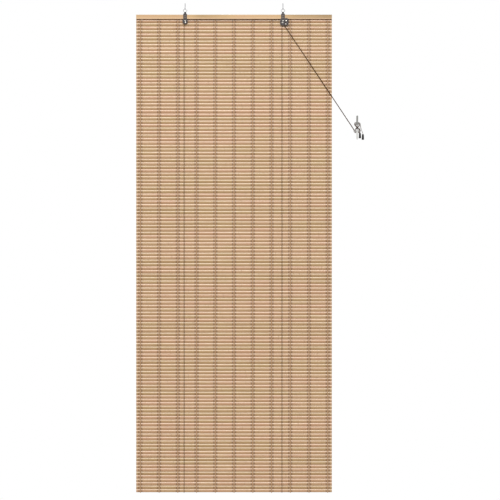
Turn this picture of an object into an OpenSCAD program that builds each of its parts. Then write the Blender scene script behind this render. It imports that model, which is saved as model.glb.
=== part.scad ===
// Bamboo roll-up blind: a batten hung from two ceiling hooks, a mat of split bamboo slats bound by warp cords,
// two lift cords over pulleys, a roller lock, a wall cleat and two tassels.
// Origin: ceiling plane, midway between the two hook shanks. +Z is up, -Y faces the room.

/* [Mat] */
// Width of the batten and of every slat
blind_w = 900; // [600:10:1200]
// Number of slats
slat_count = 136; // [60:1:160]
// Height from one slat to the next
slat_pitch = 16; // [12:0.5:18]
// Open gap between two slats
slat_gap = 0.6; // [0.4:0.1:1]
// Radius of the rounded front of a slat
slat_crown_r = 12; // [10:0.5:30]
// Thickness of a slat at its long edges
slat_edge_t = 0.8; // [0.6:0.1:1.6]
// Distance from a slat's end to the first warp cord
warp_edge = 19; // [10:1:40]
// Width of a warp cord
warp_w = 5; // [3:0.5:8]
// Thickness of a warp cord
warp_t = 1; // [0.6:0.1:1.2]

/* [Head batten] */
// Height of the batten
rail_h = 19; // [17:1:28]
// Depth of the batten
rail_d = 15; // [12:1:20]
// Radius of the batten's long edges
rail_round = 1; // [0.5:0.25:2]
// Gap between the batten and the first slat
rail_gap = 1.5; // [1.3:0.1:3]

/* [Hangers] */
// Distance between the two ceiling hooks
hook_spacing = 450; // [300:10:500]
// Wire diameter of a hook
hook_wire = 3.2; // [2.4:0.1:4]
// Bend radius of a hook, at the middle of its wire
hook_r = 6; // [5:0.5:9]
// Straight shank of a hook below the ceiling
hook_shank = 8; // [6:1:20]
// Threaded shank of a hook above the ceiling
hook_thread = 15; // [10:1:30]
// Radius of the hanging ring, at the middle of its wire
ring_r = 8; // [7:0.5:12]
// Wire diameter of the hanging ring
ring_wire = 2.2; // [1.6:0.1:2.6]
// Radius of the swivel that holds the ring
swivel_r = 4; // [3.5:0.25:6]
// Height of the swivel above the bracket
swivel_h = 8; // [6:0.5:12]
// Height of the bracket's top over the batten
flange_lift = 5; // [4:0.5:8]

/* [Pulley blocks] */
// Sheet thickness of brackets and cheeks
plate_t = 1.2; // [0.8:0.1:2]
// Width of a bracket's tang
tang_w = 17; // [14:1:22]
// Radius of the left block's rounded cheeks
cheek_r = 12; // [11.5:0.5:14]
// Width of the right block's housing
housing_w = 38; // [36:1:44]
// Height of the right block's housing
housing_h = 33; // [33:1:38]
// Corner radius of the right block's housing
housing_corner = 8; // [4:0.5:10]
// Outer radius of a sheave
sheave_r = 6.2; // [6:0.1:7]
// Width of a sheave
sheave_w = 3.6; // [3.4:0.1:5]
// Radius of an axle rivet
axle_r = 1.5; // [1.2:0.1:2]
// Radius of the domed rivet heads
rivet_head_r = 2.8; // [2.4:0.1:3.4]
// Radius of the lock roller
roller_r = 4.2; // [3.6:0.1:4.4]
// Radius of the lock roller's trunnions
trunnion_r = 1.4; // [1:0.1:1.8]
// Radius of the pin that turns the cords out of the block
guide_pin_r = 1.5; // [1.2:0.1:1.8]
// Radius of a batten screw's shank
screw_r = 1.6; // [1.2:0.1:2]
// Length of a batten screw in the wood
screw_len = 11; // [6:1:11]

/* [Cords] */
// Diameter of the lift cords and pull cords
cord_d = 2; // [1.6:0.1:2.2]
// Radius of the cord's middle around a sheave
cord_wrap_r = 4.7; // [4.6:0.05:4.9]

/* [Cleat and tassels] */
// Place of the cleat to the right of the middle
cleat_x = 566; // [520:1:700]
// Place of the cleat below the batten's top
cleat_drop = 519; // [400:1:900]
// Depth of the cleat's back behind the batten's middle
cleat_y = 4; // [2:0.5:6]
// Height of the cleat
cleat_h = 110; // [90:1:140]
// Width of the cleat's strip
cleat_w = 8.6; // [8:0.1:9]
// Thickness of the cleat's strip
cleat_t = 1.5; // [1:0.1:1.8]
// Height of the cleat's flat middle
cleat_flat = 20; // [19:0.5:22]
// Angle by which each horn of the cleat is bent out, in degrees
cleat_tilt = 26; // [24:1:32]
// Inner radius of the cleat's bends
cleat_bend_r = 4; // [2:0.5:6]
// Distance between the cleat's two screws
cleat_screw_gap = 11; // [9:0.5:11.5]
// Radius of a cleat screw's shank
cleat_screw_r = 1.75; // [1.25:0.25:2]
// Length of a cleat screw behind the cleat
cleat_screw_len = 18; // [10:1:30]
// Diameter of a tassel at its foot
tassel_d = 11; // [9:0.5:11]
// Height of a tassel
tassel_h = 26; // [18:1:32]

/* [Hidden] */
$fn = 48;

// Clearances: a running gap, a running bore, a fixed fit, and soft pieces laid against hard ones
run_gap = 0.3;
bore_gap = 0.05;
fit_gap = 0.02;
seat_gap = 0.05;
lay_gap = 0.2;

// Mat: the slats' backs lie in the plane of the batten's back
slat_h = slat_pitch - slat_gap;
slat_t = slat_edge_t + slat_crown_r - sqrt(pow(slat_crown_r, 2) - pow(slat_h / 2, 2));
mat_back = rail_d / 2;
mat_front = mat_back - slat_t;
mat_top = -(rail_h + rail_gap);
mat_bottom = mat_top - slat_count * slat_pitch + slat_gap;
warp_count = 11;
warp_pitch = (blind_w - 2 * warp_edge) / (warp_count - 1);
warp_tail = 14;
staple_wire = 1;
staple_leg = 6;
warp_staple_z = -rail_h + 9;

// Hangers: heights follow from the hook down to the batten's top
hook_low = -(hook_shank + hook_r);
ring_top = hook_low + hook_wire / 2 + lay_gap + ring_wire / 2;
ring_z = ring_top - ring_r;
ring_clear = 0.15;
swivel_wall = 0.8;
swivel_top = ring_z - ring_r + ring_wire / 2 + ring_clear + swivel_wall;
swivel_stem_r = 2;
swivel_head_r = 3.2;
swivel_head_t = 1.6;
rail_drop = -(swivel_top - swivel_h - flange_lift);
hook_arc = 200;
hook_shoulder_t = 1.6;
hook_shoulder_w = 0.7;

// Pulley blocks: the front cheek lies on the batten's front face, the sheaves turn below the batten
block_x = hook_spacing / 2;
cheek_y = -rail_d / 2;
sheave_drop = 2.4;
axle_z = -(rail_h + sheave_drop + sheave_r);
front_sheave_y = cheek_y + run_gap;
rear_sheave_y = front_sheave_y + sheave_w + run_gap;
left_inner_w = sheave_w + 2 * run_gap;
right_inner_w = 2 * sheave_w + 3 * run_gap;
front_cord_y = front_sheave_y + sheave_w / 2;
rear_cord_y = rear_sheave_y + sheave_w / 2;
flange_back = hook_r;
bend_r = 2;
groove_root_r = cord_wrap_r - cord_d / 2 - run_gap;
groove_w = cord_d + 2 * run_gap;
rivet_head_t = 1.2;
rivet_tail_t = 0.8;
spacer_r = 1.4;
cheek_drop = 3;
housing_left = -13;
left_spacer_at = [2, axle_z - sheave_r - 2.2];
right_spacer_at = [-1.4, axle_z - sheave_r - 2.4];
upper_spacer_at = [14.6, axle_z - 0.8];
screw_z = [-6, -14];
screw_head_r = 3.2;
screw_head_t = 1.8;

// Roller lock: the roller climbs its slanted slots and nips the cords beside the sheaves
roller_high = [cord_wrap_r + cord_d / 2 + 0.4 + roller_r, axle_z - 5.6];
roller_low = [roller_high[0] + 3.5, axle_z - 16];
guide_r = guide_pin_r + lay_gap + cord_d / 2;
guide_at = [cord_wrap_r + guide_r, axle_z - 17.4];

// Lift cords: down the back of the mat, under its last slat and up the front
cord_turn_r = slat_t / 2 + lay_gap + cord_d / 2;
cord_turn_y = mat_back - slat_t / 2;
cord_back_y = cord_turn_y + cord_turn_r;
cord_staple_z = -rail_h + warp_tail + staple_wire + lay_gap;
cord_top = cord_staple_z + 1.8;

// Cleat and pull cords
cleat_head_r = 3;
cord_sides = 8;

// Route of each pull cord around the cleat and down to its tassel: right of, in front of and above the
// middle of the cleat's back
left_route = [[-13, -4.5, -10], [-12, -3.4, -15.6], [-7.6, -1.9, -21.2], [0, -1.6, -22], [7, -1.9, -21.2],
              [11.8, -2.4, -17.4], [12.6, -2.6, -12], [10, -2.7, -8.6], [6.8, -2.7, -5.8],
              [3.4, -2.7, -2.8], [0, -2.7, 0], [-3.4, -2.7, 2.8], [-6.8, -2.8, 5.8], [-8.8, -2.9, 9.4],
              [-9.1, -2.7, 13], [-7.4, -1.9, 17.2], [-4.4, -1.6, 19.2], [0, -1.5, 20], [5.6, -1.6, 18.9],
              [9.8, -2.6, 15.6], [10.6, -3.9, 10.6], [9.6, -4.6, 7], [7.2, -4.9, 4.6], [3.8, -4.9, 1.7],
              [0.8, -4.9, -0.9], [-2.3, -4.9, -3.5], [-5.7, -4.8, -6.4], [-7.2, -4.2, -9.2],
              [-7.1, -2.9, -12.4], [-5.4, -1.2, -16.4], [0, -1.15, -17.5], [5.4, -1.2, -16.4],
              [7.1, -3, -12.6], [7.3, -5, -9], [6.4, -6.8, -6], [3.4, -7.1, -2.8], [0, -7.1, 0],
              [-3.4, -7.1, 2.8], [-7.2, -6.6, 6.4], [-11.4, -5.2, 10.8], [-12.8, -3.9, 16],
              [-10, -2.4, 22.4], [0, -1.9, 24.6], [8.8, -2.4, 23], [14, -4.2, 18.6], [15.6, -6, 11],
              [16.6, -7, 4], [18.6, -7.8, -5], [21.6, -8.6, -15], [24.4, -9.1, -22], [26, -9.35, -26.5],
              [26.3, -9.4, -29.5], [26.3, -9.4, -46]];
right_route = [[-15, -3.8, -11], [-14.4, -3, -17.6], [-8.6, -1.9, -23.7], [0, -1.6, -24.3],
               [8, -1.9, -23.6], [13.8, -2.4, -19], [15.2, -2.6, -12.2], [13, -2.7, -7.6],
               [8.9, -2.7, -4.2], [5.2, -2.7, -1], [1.7, -2.7, 1.8], [-1.8, -2.7, 4.6], [-5.2, -2.8, 7.6],
               [-6.6, -2.7, 10.6], [-6.4, -2.3, 13.2], [-5.1, -1.25, 15.9], [0, -1.25, 17.5],
               [5.4, -1.35, 16.4], [7.7, -2.6, 13.2], [7.6, -3.9, 9.4], [5.7, -4.8, 6.4], [2.3, -4.9, 3.5],
               [-0.8, -4.9, 0.9], [-3.8, -4.9, -1.7], [-7.2, -4.8, -4.6], [-9.6, -4.4, -8.2],
               [-9.6, -3.4, -12], [-8.6, -2.2, -16.2], [-6.2, -1.4, -19], [0, -1.3, -19.7],
               [6, -1.4, -18.8], [9.4, -2.6, -15.2], [9.8, -4.6, -10.4], [8.6, -6.6, -5.2],
               [5.2, -7.1, -1], [1.7, -7.1, 1.8], [-1.8, -7.1, 4.6], [-5.6, -6.7, 8], [-9, -5.4, 11.6],
               [-10.4, -4, 16], [-7.6, -2.2, 20.8], [0, -1.7, 22.2], [7, -2.2, 21], [11.6, -4, 17],
               [13, -6.2, 9.5], [13.2, -7.2, 1], [13.6, -7.3, -8], [13.2, -7, -15], [12.7, -6.8, -21.5],
               [12.7, -6.8, -39]];
tassel_grip = 16;
tassel_bore_r = cord_d / 2 + 0.1;
tassel_neck_r = 3.2;
tassel_neck_h = 1.6;
tassel_shoulder_h = 3;
tassel_flare = 0.9;
knot_room_r = 2.6;
knot_room_h = 12;

// Colours
pine = [0.84, 0.71, 0.54];
bamboo = [0.79, 0.67, 0.55];
twine = [0.70, 0.57, 0.44];
cord_brown = [0.40, 0.31, 0.22];
steel = [0.76, 0.77, 0.78];
dark_steel = [0.30, 0.30, 0.30];
black_metal = [0.08, 0.08, 0.08];
nickel = [0.78, 0.78, 0.76];
black_plastic = [0.10, 0.10, 0.10];

// Frames and helpers

// Moves pieces from the batten's own frame, whose zero is the middle of its top, to the hooks' frame
module hung() {
    translate([0, -hook_r, -rail_drop]) children();
}

// Lays a flat outline drawn in x and z between two depths
module plate(y0, t) {
    translate([0, y0 + t, 0]) rotate([90, 0, 0]) linear_extrude(t) children();
}

// Runs an outline drawn in y and z along x, centred
module run_x(w) {
    rotate([90, 0, 90]) linear_extrude(w, center = true) children();
}

// A round rod along y that starts at depth y0, at the point at in x and z
module rod_y(at, y0, len, r) {
    translate([at[0], y0 + len, at[1]]) rotate([90, 0, 0]) cylinder(r = r, h = len);
}

// A shallow dome that faces the room, with its flat side at depth y0
module dome_y(at, y0, r, t) {
    ball_r = (r * r + t * t) / (2 * t);
    translate([at[0], y0, at[1]]) rotate([90, 0, 0]) intersection() {
        translate([0, 0, t - ball_r]) sphere(r = ball_r);
        cylinder(r = r, h = t);
    }
}

// A slot outline with round ends at p and q, and sides a hair inside the ends' tangents
module slot_outline(p, q, r) {
    d = q - p;
    half = r - fit_gap;
    translate(p) circle(r);
    translate(q) circle(r);
    translate(p) rotate(atan2(d[1], d[0])) translate([0, -half]) square([norm(d), 2 * half]);
}

// A rivet from the room side: domed head, shank and flat tail
module rivet(at, y0, len, r) {
    dome_y(at, y0, rivet_head_r, rivet_head_t);
    rod_y(at, y0, len, r);
    rod_y(at, y0 + len, rivet_tail_t, rivet_head_r);
}

// Unit vector
function unit(v) = v / norm(v);

// Direction of a route at point i, with the given directions at its two ends
function heading(p, i, first, last) =
    i == 0 ? first : i == len(p) - 1 ? last : unit(unit(p[i + 1] - p[i]) + unit(p[i] - p[i - 1]));

// One ring of points around a route's point
function ring_points(c, t, r) =
    let (n = unit(cross(t, [1, 1, 0])), b = cross(t, n))
    [for (k = [0:cord_sides - 1]) c + r * (n * cos(360 * k / cord_sides) + b * sin(360 * k / cord_sides))];

// A round cord swept along a route
module cord_tube(p, first, last) {
    s = cord_sides;
    rings = [for (i = [0:len(p) - 1]) each ring_points(p[i], heading(p, i, first, last), cord_d / 2)];
    sides = [for (i = [0:len(p) - 2]) for (k = [0:s - 1])
        [i * s + k, i * s + (k + 1) % s, (i + 1) * s + (k + 1) % s, (i + 1) * s + k]];
    start = [for (k = [0:s - 1]) s - 1 - k];
    end = [for (k = [0:s - 1]) (len(p) - 1) * s + k];
    polyhedron(points = rings, faces = concat([start], sides, [end]), convexity = 6);
}

// Points on an arc in the plane of x and z, at depth y
function arc_xz(c, y, r, from, to, steps) =
    [for (i = [0:steps]) let (a = from + (to - from) * i / steps) [c[0] + r * cos(a), y, c[1] + r * sin(a)]];

// Head batten

module staple_slots(x, z, half_w) {
    for (s = [-1, 1])
        translate([x + s * half_w - staple_wire / 2 - fit_gap, mat_back - staple_leg - fit_gap,
                   z - staple_wire / 2 - fit_gap])
            cube([staple_wire + 2 * fit_gap, staple_leg + 1, staple_wire + 2 * fit_gap]);
}

module head_rail() color(pine) hung() difference() {
    run_x(blind_w) difference() {
        translate([-rail_d / 2, -rail_h]) square([rail_d, rail_h]);
        for (sy = [-1, 1]) for (z = [0, -rail_h]) translate([sy * rail_d / 2, z]) difference() {
            square(2 * rail_round, center = true);
            translate([-sy * rail_round, z == 0 ? -rail_round : rail_round]) circle(rail_round);
        }
    }
    for (sx = [-1, 1]) for (z = screw_z)
        rod_y([sx * block_x, z], cheek_y - 1, screw_len + 1, screw_r + fit_gap);
    for (i = [1:warp_count]) staple_slots(warp_x(i), warp_staple_z, warp_staple_half);
    for (x = [left_cord_x, right_cord_x]) staple_slots(x, cord_staple_z, cord_staple_half);
}

// Slats and warp

module slat(i) {
    z = mat_top - i * slat_pitch - slat_h / 2;
    translate([0, 0, z]) run_x(blind_w) intersection() {
        translate([mat_front + slat_crown_r, 0]) circle(slat_crown_r, $fn = 96);
        translate([mat_front, -slat_h / 2]) square([slat_t, slat_h]);
    }
}

module bamboo_slats() color(bamboo) hung() for (i = [0:slat_count - 1]) slat(i);

function warp_x(i) = (i - (warp_count + 1) / 2) * warp_pitch;

// A warp cord: a loop round the whole mat, with a tail stapled to the back of the batten
module warp(i) color(twine) hung() translate([warp_x(i), 0, 0]) run_x(warp_w) {
    inner = [mat_front - seat_gap, mat_bottom - seat_gap];
    size = [slat_t + 2 * seat_gap, mat_top - mat_bottom + 2 * seat_gap];
    difference() {
        translate(inner - [warp_t, warp_t]) square(size + 2 * [warp_t, warp_t]);
        translate(inner) square(size);
    }
    translate([mat_back + seat_gap, mat_top]) square([warp_t, rail_gap + warp_tail]);
}

warp_staple_half = warp_w / 2 + 2 * seat_gap + staple_wire / 2;
cord_staple_half = cord_d / 2 + 2 * seat_gap + staple_wire / 2;

// A flat-wire staple, driven into the back of the batten over something that stands out by cover
module staple(x, z, half_w, cover) {
    out = mat_back + cover + 2 * seat_gap;
    translate([x, 0, z - staple_wire / 2]) linear_extrude(staple_wire) {
        translate([-half_w - staple_wire / 2, out]) square([2 * half_w + staple_wire, staple_wire]);
        for (s = [-1, 1])
            translate([s * half_w - staple_wire / 2, mat_back - staple_leg])
                square([staple_wire, out + staple_wire / 2 - mat_back + staple_leg]);
    }
}

module warp_staples() color(steel) hung()
    for (i = [1:warp_count]) staple(warp_x(i), warp_staple_z, warp_staple_half, seat_gap + warp_t);

module cord_staples() color(steel) hung()
    for (x = [left_cord_x, right_cord_x]) staple(x, cord_staple_z, cord_staple_half, lay_gap + cord_d);

// Hooks, rings and swivels

// A screw hook with a small shoulder where the shank meets the bend
module ceiling_hook(x) color(steel) translate([x, 0, 0]) {
    translate([0, 0, -hook_shank + hook_shoulder_t / 4])
        cylinder(d = hook_wire, h = hook_shank + hook_thread - hook_shoulder_t / 4);
    translate([0, 0, -hook_shank - hook_shoulder_t / 2])
        cylinder(d = hook_wire + 2 * hook_shoulder_w, h = hook_shoulder_t);
    translate([0, -hook_r, -hook_shank]) rotate([90, 0, 90]) rotate(-hook_arc)
        rotate_extrude(angle = hook_arc) translate([hook_r, 0]) circle(d = hook_wire);
}

module ring_wire_shape(x, wire) {
    translate([x, -hook_r, ring_z]) rotate([90, 0, 0])
        rotate_extrude() translate([ring_r, 0]) circle(d = wire);
}

module hanging_ring(x) color(steel) ring_wire_shape(x, ring_wire);

// The barrel holds the ring's lower side, and its stem is riveted under the bracket's flange
module swivel(x) color(black_metal) {
    flange_top = swivel_top - swivel_h;
    difference() {
        translate([x, -hook_r, flange_top]) cylinder(r = swivel_r, h = swivel_h);
        ring_wire_shape(x, ring_wire + 2 * ring_clear);
    }
    translate([x, -hook_r, flange_top - plate_t]) cylinder(r = swivel_stem_r, h = plate_t);
    translate([x, -hook_r, flange_top - plate_t - swivel_head_t])
        cylinder(r = swivel_head_r, h = swivel_head_t);
}

// Brackets, cheeks and rivets

// Side outline of the strap: down the front of the batten, and bent back over its top
module strap_outline() {
    front = cheek_y - plate_t;
    translate([front, axle_z]) square([plate_t, flange_lift - bend_r - axle_z]);
    translate([front + bend_r, flange_lift - plate_t]) square([flange_back - front - bend_r, plate_t]);
    translate([front + bend_r, flange_lift - bend_r]) intersection() {
        difference() {
            circle(bend_r);
            circle(bend_r - plate_t);
        }
        translate([-bend_r, 0]) square(bend_r);
    }
}

module strap(x) {
    translate([x, 0, 0]) difference() {
        run_x(tang_w) strap_outline();
        translate([0, 0, flange_lift - plate_t - 1])
            cylinder(r = swivel_stem_r + fit_gap, h = plate_t + 2);
        for (z = screw_z) rod_y([0, z], cheek_y - plate_t - 1, plate_t + 2, screw_r + fit_gap);
        rod_y([0, axle_z], cheek_y - plate_t - 1, plate_t + 2, axle_r + fit_gap);
    }
}

module left_cheek_outline() difference() {
    slot_outline([0, axle_z], [0, axle_z - cheek_drop], cheek_r);
    translate([0, axle_z]) circle(axle_r + fit_gap);
    translate(left_spacer_at) circle(spacer_r + fit_gap);
}

// A rectangle with round corners, from its upper left corner
module rounded_panel(w, h, r) difference() {
    translate([0, -h]) square([w, h]);
    for (x = [0, w]) for (z = [0, -h]) translate([x, z]) difference() {
        square(2 * r, center = true);
        translate([x == 0 ? r : -r, z == 0 ? -r : r]) circle(r);
    }
}

module right_cheek_outline() difference() {
    translate([housing_left, axle_z + cheek_r]) rounded_panel(housing_w, housing_h, housing_corner);
    translate([0, axle_z]) circle(axle_r + fit_gap);
    for (at = [right_spacer_at, upper_spacer_at]) translate(at) circle(spacer_r + fit_gap);
    translate(guide_at) circle(guide_pin_r + fit_gap);
    slot_outline(roller_low, roller_high, trunnion_r + run_gap);
}

// A back cheek ends just under the batten
module below_rail() intersection() {
    children();
    translate([-housing_w, -rail_h - run_gap - 2 * housing_h]) square([3 * housing_w, 2 * housing_h]);
}

module left_bracket() color(dark_steel) hung() {
    strap(-block_x);
    translate([-block_x, 0, 0]) plate(cheek_y - plate_t, plate_t) left_cheek_outline();
}

module right_bracket() color(dark_steel) hung() {
    strap(block_x);
    translate([block_x, 0, 0]) plate(cheek_y - plate_t, plate_t) right_cheek_outline();
}

module left_back_cheek() color(dark_steel) hung() translate([-block_x, 0, 0])
    plate(cheek_y + left_inner_w, plate_t) below_rail() left_cheek_outline();

module right_back_cheek() color(dark_steel) hung() translate([block_x, 0, 0])
    plate(cheek_y + right_inner_w, plate_t) below_rail() right_cheek_outline();

module block_rivet(x, at, inner_w, r) color(nickel) hung() translate([x, 0, 0])
    rivet(at, cheek_y - plate_t, inner_w + 2 * plate_t, r);

module left_axle() block_rivet(-block_x, [0, axle_z], left_inner_w, axle_r);
module right_axle() block_rivet(block_x, [0, axle_z], right_inner_w, axle_r);
module left_spacer() block_rivet(-block_x, left_spacer_at, left_inner_w, spacer_r);
module right_spacer() block_rivet(block_x, right_spacer_at, right_inner_w, spacer_r);
module right_upper_spacer() block_rivet(block_x, upper_spacer_at, right_inner_w, spacer_r);

// The guide pin's ends lie flush with the two plates
module guide_pin() color(dark_steel) hung() translate([block_x, 0, 0])
    rod_y(guide_at, cheek_y - plate_t, right_inner_w + 2 * plate_t, guide_pin_r);

// Slotted round-head screws through the tang into the batten
module rail_screws(x) color(nickel) hung() translate([x, 0, 0]) for (z = screw_z) {
    difference() {
        dome_y([0, z], cheek_y - plate_t, screw_head_r, screw_head_t);
        translate([0, cheek_y - plate_t - screw_head_t, z]) rotate([0, -45, 0])
            cube([2 * screw_head_r, screw_head_t, 0.8], center = true);
    }
    rod_y([0, z], cheek_y - plate_t, plate_t + screw_len, screw_r);
}

// Sheaves and lock roller

module sheave(x, y0) color(black_plastic) hung() translate([x, y0 + sheave_w, axle_z]) rotate([90, 0, 0])
    rotate_extrude() polygon([
        [axle_r + bore_gap, 0], [sheave_r, 0], [sheave_r, sheave_w / 2 - groove_w / 2 - 0.15],
        [groove_root_r + 1, sheave_w / 2 - groove_w / 2], [groove_root_r, sheave_w / 2 - groove_w / 3],
        [groove_root_r, sheave_w / 2 + groove_w / 3], [groove_root_r + 1, sheave_w / 2 + groove_w / 2],
        [sheave_r, sheave_w / 2 + groove_w / 2 + 0.15], [sheave_r, sheave_w], [axle_r + bore_gap, sheave_w]]);

module lock_roller() color(nickel) hung() translate([block_x, 0, 0]) {
    rod_y(roller_low, cheek_y + run_gap, right_inner_w - 2 * run_gap, roller_r);
    rod_y(roller_low, cheek_y - plate_t - run_gap, right_inner_w + 2 * plate_t + 2 * run_gap, trunnion_r);
}

// Lift cords

left_cord_x = -block_x - cord_wrap_r;
right_cord_x = block_x - cord_wrap_r;

// Turns a point of a pull cord's route from the cleat's frame to the batten's
function from_cleat(p) = [cleat_x + p[0], cleat_y + p[1], p[2] - cleat_drop];

// Angle from straight down at which a cord leaves the guide pin for the first point of its route
function leave_angle(route) =
    let (d = from_cleat(route[0]) - [block_x + guide_at[0], 0, guide_at[1]], flat = norm([d[0], d[2]]))
    atan2(d[0], -d[2]) + asin(guide_r / flat);

function leave_heading(route) = let (a = leave_angle(route)) [sin(a), 0, -cos(a)];

// Down the back of the mat, round its lower edge and up to the sheave
function mat_run(x, y) = concat(
    [[x, cord_back_y, cord_top]],
    [for (i = [0:6]) let (a = -30 * i)
        [x, cord_turn_y + cord_turn_r * cos(a), mat_bottom + cord_turn_r * sin(a)]]);

// Beside the sheave, past the roller and round the guide pin
function block_run(y, route) =
    arc_xz([block_x + guide_at[0], guide_at[1]], y, guide_r, 180, 180 + leave_angle(route), 4);

left_lift_points = concat(
    mat_run(left_cord_x, front_cord_y),
    arc_xz([-block_x, axle_z], front_cord_y, cord_wrap_r, 180, 90, 6),
    arc_xz([block_x, axle_z], front_cord_y, cord_wrap_r, 90, 0, 6),
    block_run(front_cord_y, left_route));

right_lift_points = concat(
    mat_run(right_cord_x, rear_cord_y),
    arc_xz([block_x, axle_z], rear_cord_y, cord_wrap_r, 180, 0, 12),
    block_run(rear_cord_y, right_route));

module left_lift_cord() color(cord_brown) hung()
    cord_tube(left_lift_points, [0, 0, -1], leave_heading(left_route));

module right_lift_cord() color(cord_brown) hung()
    cord_tube(right_lift_points, [0, 0, -1], leave_heading(right_route));

// Pull cords, cleat and tassels

module pull_cord(lift_points, route) color(cord_brown) hung() {
    points = concat([lift_points[len(lift_points) - 1]], [for (p = route) from_cleat(p)]);
    cord_tube(points, leave_heading(route), [0, 0, -1]);
}

module left_pull_cord() pull_cord(left_lift_points, left_route);
module right_pull_cord() pull_cord(right_lift_points, right_route);

// Side outline of the cleat's strip above its middle, in depth and height: flat, bend and horn
module cleat_half() {
    flat = cleat_flat / 2;
    bend_out = cleat_bend_r + cleat_t;
    horn = (cleat_h / 2 - flat - bend_out * sin(cleat_tilt)) / cos(cleat_tilt);
    translate([-cleat_t, 0]) square([cleat_t, flat]);
    translate([-bend_out, flat]) {
        intersection() {
            difference() {
                circle(bend_out);
                circle(cleat_bend_r);
            }
            polygon([[0, 0], [2 * bend_out, 0],
                     [2 * bend_out * cos(cleat_tilt), 2 * bend_out * sin(cleat_tilt)]]);
        }
        rotate(cleat_tilt) translate([cleat_bend_r, 0]) square([cleat_t, horn]);
    }
}

module cleat_outline() {
    cleat_half();
    mirror([0, 1]) cleat_half();
}

module cleat_screw_hole(z) {
    rod_y([0, z], -cleat_t - 1, cleat_t + 2, cleat_screw_r + fit_gap);
    translate([0, -cleat_t, z]) rotate([-90, 0, 0])
        cylinder(r1 = cleat_head_r + fit_gap, r2 = cleat_screw_r + fit_gap, h = cleat_t);
}

module cleat_frame() hung() translate([cleat_x, cleat_y, -cleat_drop]) children();

module cord_cleat() color(steel) cleat_frame() difference() {
    intersection() {
        run_x(cleat_w) cleat_outline();
        plate(-cleat_h / 2, cleat_h)
            slot_outline([0, -(cleat_h - cleat_w) / 2], [0, (cleat_h - cleat_w) / 2], cleat_w / 2);
    }
    for (s = [-1, 1]) cleat_screw_hole(s * cleat_screw_gap / 2);
}

module cleat_screws() color(steel) cleat_frame() for (s = [-1, 1]) {
    z = s * cleat_screw_gap / 2;
    translate([0, -cleat_t, z]) rotate([-90, 0, 0])
        cylinder(r1 = cleat_head_r, r2 = cleat_screw_r, h = cleat_t);
    rod_y([0, z], 0, cleat_screw_len, cleat_screw_r);
}

// A turned bell with its cord through the neck, a round shoulder, and room for the knot above its foot
module tassel(route) color(black_plastic) hung() {
    tail = from_cleat(route[len(route) - 1]);
    top = tassel_grip;
    foot = tassel_grip - tassel_h;
    foot_r = tassel_d / 2;
    shoulder_r = foot_r - tassel_flare;
    neck_z = top - tassel_neck_h;
    shoulder = [for (a = [90, 60, 30, 0])
        [tassel_neck_r + (shoulder_r - tassel_neck_r) * cos(a), neck_z - tassel_shoulder_h * (1 - sin(a))]];
    translate(tail) rotate_extrude() polygon(concat(
        [[tassel_bore_r, top], [tassel_neck_r - 0.5, top], [tassel_neck_r, top - 0.5]], shoulder,
        [[foot_r, foot + 1.5], [foot_r - 0.6, foot], [knot_room_r, foot],
         [knot_room_r, foot + knot_room_h], [tassel_bore_r, foot + knot_room_h + 1.5]]));
}

module left_tassel() tassel(right_route);
module right_tassel() tassel(left_route);

head_rail();
bamboo_slats();
warp(1);  // warp_01
warp(2);  // warp_02
warp(3);  // warp_03
warp(4);  // warp_04
warp(5);  // warp_05
warp(6);  // warp_06
warp(7);  // warp_07
warp(8);  // warp_08
warp(9);  // warp_09
warp(10);  // warp_10
warp(11);  // warp_11
warp_staples();
cord_staples();
ceiling_hook(-block_x);  // left_ceiling_hook
ceiling_hook(block_x);  // right_ceiling_hook
hanging_ring(-block_x);  // left_ring
hanging_ring(block_x);  // right_ring
swivel(-block_x);  // left_swivel
swivel(block_x);  // right_swivel
left_bracket();
right_bracket();
rail_screws(-block_x);  // left_rail_screws
rail_screws(block_x);  // right_rail_screws
left_back_cheek();
right_back_cheek();
left_axle();
right_axle();
left_spacer();
right_spacer();
right_upper_spacer();
sheave(-block_x, front_sheave_y);  // left_sheave
sheave(block_x, front_sheave_y);  // right_front_sheave
sheave(block_x, rear_sheave_y);  // right_rear_sheave
lock_roller();
guide_pin();
left_lift_cord();
right_lift_cord();
left_pull_cord();
right_pull_cord();
cord_cleat();
cleat_screws();
left_tassel();
right_tassel();
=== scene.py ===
"""Bamboo roll-up blind: slat mat, warp twine, cords, blocks, cleat and tassels round the CAD frame."""
import math

import bmesh
import bpy
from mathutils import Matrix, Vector

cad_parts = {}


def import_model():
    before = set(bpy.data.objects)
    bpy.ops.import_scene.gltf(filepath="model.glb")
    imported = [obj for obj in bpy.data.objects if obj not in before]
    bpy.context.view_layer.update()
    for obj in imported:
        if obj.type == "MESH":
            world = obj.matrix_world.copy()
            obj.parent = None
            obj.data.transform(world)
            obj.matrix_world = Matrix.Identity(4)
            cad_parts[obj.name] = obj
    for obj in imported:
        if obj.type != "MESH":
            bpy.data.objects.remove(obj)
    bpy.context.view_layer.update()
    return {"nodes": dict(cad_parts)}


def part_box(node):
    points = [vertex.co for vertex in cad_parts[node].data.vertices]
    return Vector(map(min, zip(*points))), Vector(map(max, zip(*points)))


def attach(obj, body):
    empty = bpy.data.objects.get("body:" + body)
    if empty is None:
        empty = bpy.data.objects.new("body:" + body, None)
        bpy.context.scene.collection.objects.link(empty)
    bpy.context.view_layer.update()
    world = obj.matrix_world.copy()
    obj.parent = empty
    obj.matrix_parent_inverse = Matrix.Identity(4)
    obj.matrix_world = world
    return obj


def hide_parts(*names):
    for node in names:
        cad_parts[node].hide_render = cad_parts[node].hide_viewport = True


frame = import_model()

MM = 0.001
TURN = 2 * math.pi
BODY = "blind"
scene = bpy.context.scene
scene.view_settings.view_transform = "Standard"

# Places taken from the frame

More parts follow.
